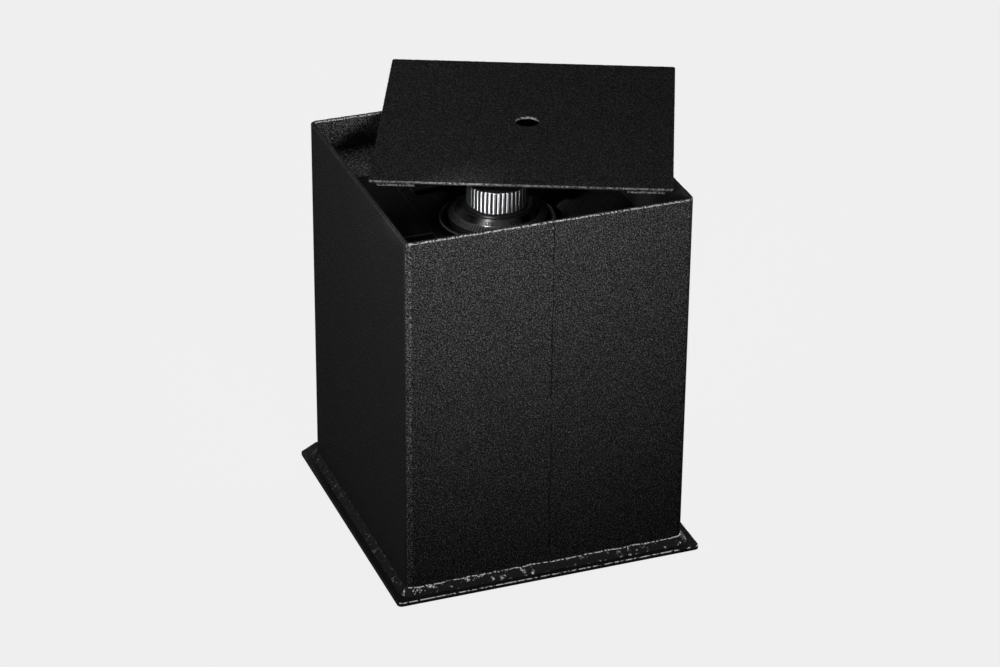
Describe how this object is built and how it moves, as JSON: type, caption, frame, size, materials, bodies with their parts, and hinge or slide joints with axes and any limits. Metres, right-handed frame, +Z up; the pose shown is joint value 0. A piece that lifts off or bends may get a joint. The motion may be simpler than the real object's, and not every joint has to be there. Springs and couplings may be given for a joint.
{
  "type": "in-floor safe",
  "caption": "Square in-floor safe: welded steel box on a flanged base, sunk hinged door with dial combination lock and sliding bolts, loose dust cover with finger hole lying askew on the rim.",
  "frame": {"origin": "centre of the base plate's underside, on the dial axis", "axes": "+Z up, -Y towards the face with the weld seam, +X to the right of that face"},
  "size_m": [0.4247, 0.4358, 0.4062],
  "materials": {
    "hammertone_paint": "black hammertone enamel with a fine cell texture",
    "bare_steel": "turned and ground steel",
    "dial_black": "satin black with white figures",
    "chrome": "bright chrome plate",
    "brass": "machined brass",
    "zinc_casting": "plain die-cast zinc",
    "rubber": "matt black rubber"
  },
  "bodies": {
    "safe_body": {"body_shell": "hammertone_paint", "seam_weld": "hammertone_paint", "base_plate": "hammertone_paint", "foot_weld": "hammertone_paint", "deck_plate": "hammertone_paint", "left_hinge_ledge": "hammertone_paint", "right_hinge_block": "hammertone_paint", "hinge_rod": "bare_steel", "rod_collars": "bare_steel", "door_stop": "rubber"},
    "door": {"door_plate": "hammertone_paint", "hard_plate": "bare_steel", "lock_case": "zinc_casting", "lock_case_lid": "zinc_casting", "lock_case_screws": "bare_steel", "dial_ring": "dial_black", "dial_ring_screws": "bare_steel", "spindle_tube": "brass", "front_bolt_guide": "hammertone_paint", "front_guide_screws": "bare_steel", "left_bolt_guide": "hammertone_paint", "right_bolt_guide": "hammertone_paint", "side_guide_screws": "bare_steel"},
    "dial": {"dial": "dial_black", "dial_collar": "chrome", "dial_knob": "chrome", "knob_cap": "dial_black", "spindle": "bare_steel", "drive_cam": "brass"},
    "wheel_1": {"wheel_1": "brass"},
    "wheel_2": {"wheel_2": "brass"},
    "wheel_3": {"wheel_3": "brass"},
    "boltwork": {"bolt_carriage": "hammertone_paint", "front_bolts": "bare_steel", "front_bolt_screws": "bare_steel", "lock_bolt": "brass", "lock_bolt_screws": "bare_steel", "fence_lever": "zinc_casting", "lever_screw": "bare_steel"},
    "left_bolt": {"left_bolt": "bare_steel", "left_drive_pin": "bare_steel"},
    "right_bolt": {"right_bolt": "bare_steel", "right_drive_pin": "bare_steel"},
    "cover": {"cover_plate": "hammertone_paint", "cover_tabs": "hammertone_paint"}
  },
  "joints": [
    {"name": "door_swing", "type": "hinge", "parent": "safe_body", "child": "door", "pos_m": [0, 0.118, 0.32465], "axis": [-1, 0, 0], "range_deg": [0, 92]},
    {"name": "cover_lift", "type": "slide", "parent": "safe_body", "child": "cover", "axis": [0, 0, 1], "range_m": [0, 0.42]},
    {"name": "dial_spin", "type": "hinge", "parent": "door", "child": "dial", "pos_m": [0, 0, 0.343], "axis": [0, 0, 1], "continuous": true},
    {"name": "wheel_1_spin", "type": "hinge", "parent": "door", "child": "wheel_1", "pos_m": [0, 0, 0.3], "axis": [0, 0, 1], "continuous": true},
    {"name": "wheel_2_spin", "type": "hinge", "parent": "door", "child": "wheel_2", "pos_m": [0, 0, 0.3], "axis": [0, 0, 1], "continuous": true},
    {"name": "wheel_3_spin", "type": "hinge", "parent": "door", "child": "wheel_3", "pos_m": [0, 0, 0.3], "axis": [0, 0, 1], "continuous": true},
    {"name": "bolt_throw", "type": "slide", "parent": "door", "child": "boltwork", "axis": [0, -1, 0], "range_m": [0, 0.014]},
    {"name": "left_bolt_slide", "type": "slide", "parent": "door", "child": "left_bolt", "axis": [-1, 0, 0], "range_m": [0, 0.014]},
    {"name": "right_bolt_slide", "type": "slide", "parent": "door", "child": "right_bolt", "axis": [1, 0, 0], "range_m": [0, 0.014]}
  ],
  "couplings": [
    {"joint": "cover_lift", "follows": "door_swing", "m_per_rad": 0.2615},
    {"joint": "wheel_1_spin", "follows": "dial_spin", "ratio": 1},
    {"joint": "wheel_2_spin", "follows": "dial_spin", "ratio": 1},
    {"joint": "wheel_3_spin", "follows": "dial_spin", "ratio": 1},
    {"joint": "left_bolt_slide", "follows": "bolt_throw", "ratio": 1},
    {"joint": "right_bolt_slide", "follows": "bolt_throw", "ratio": 1}
  ]
}
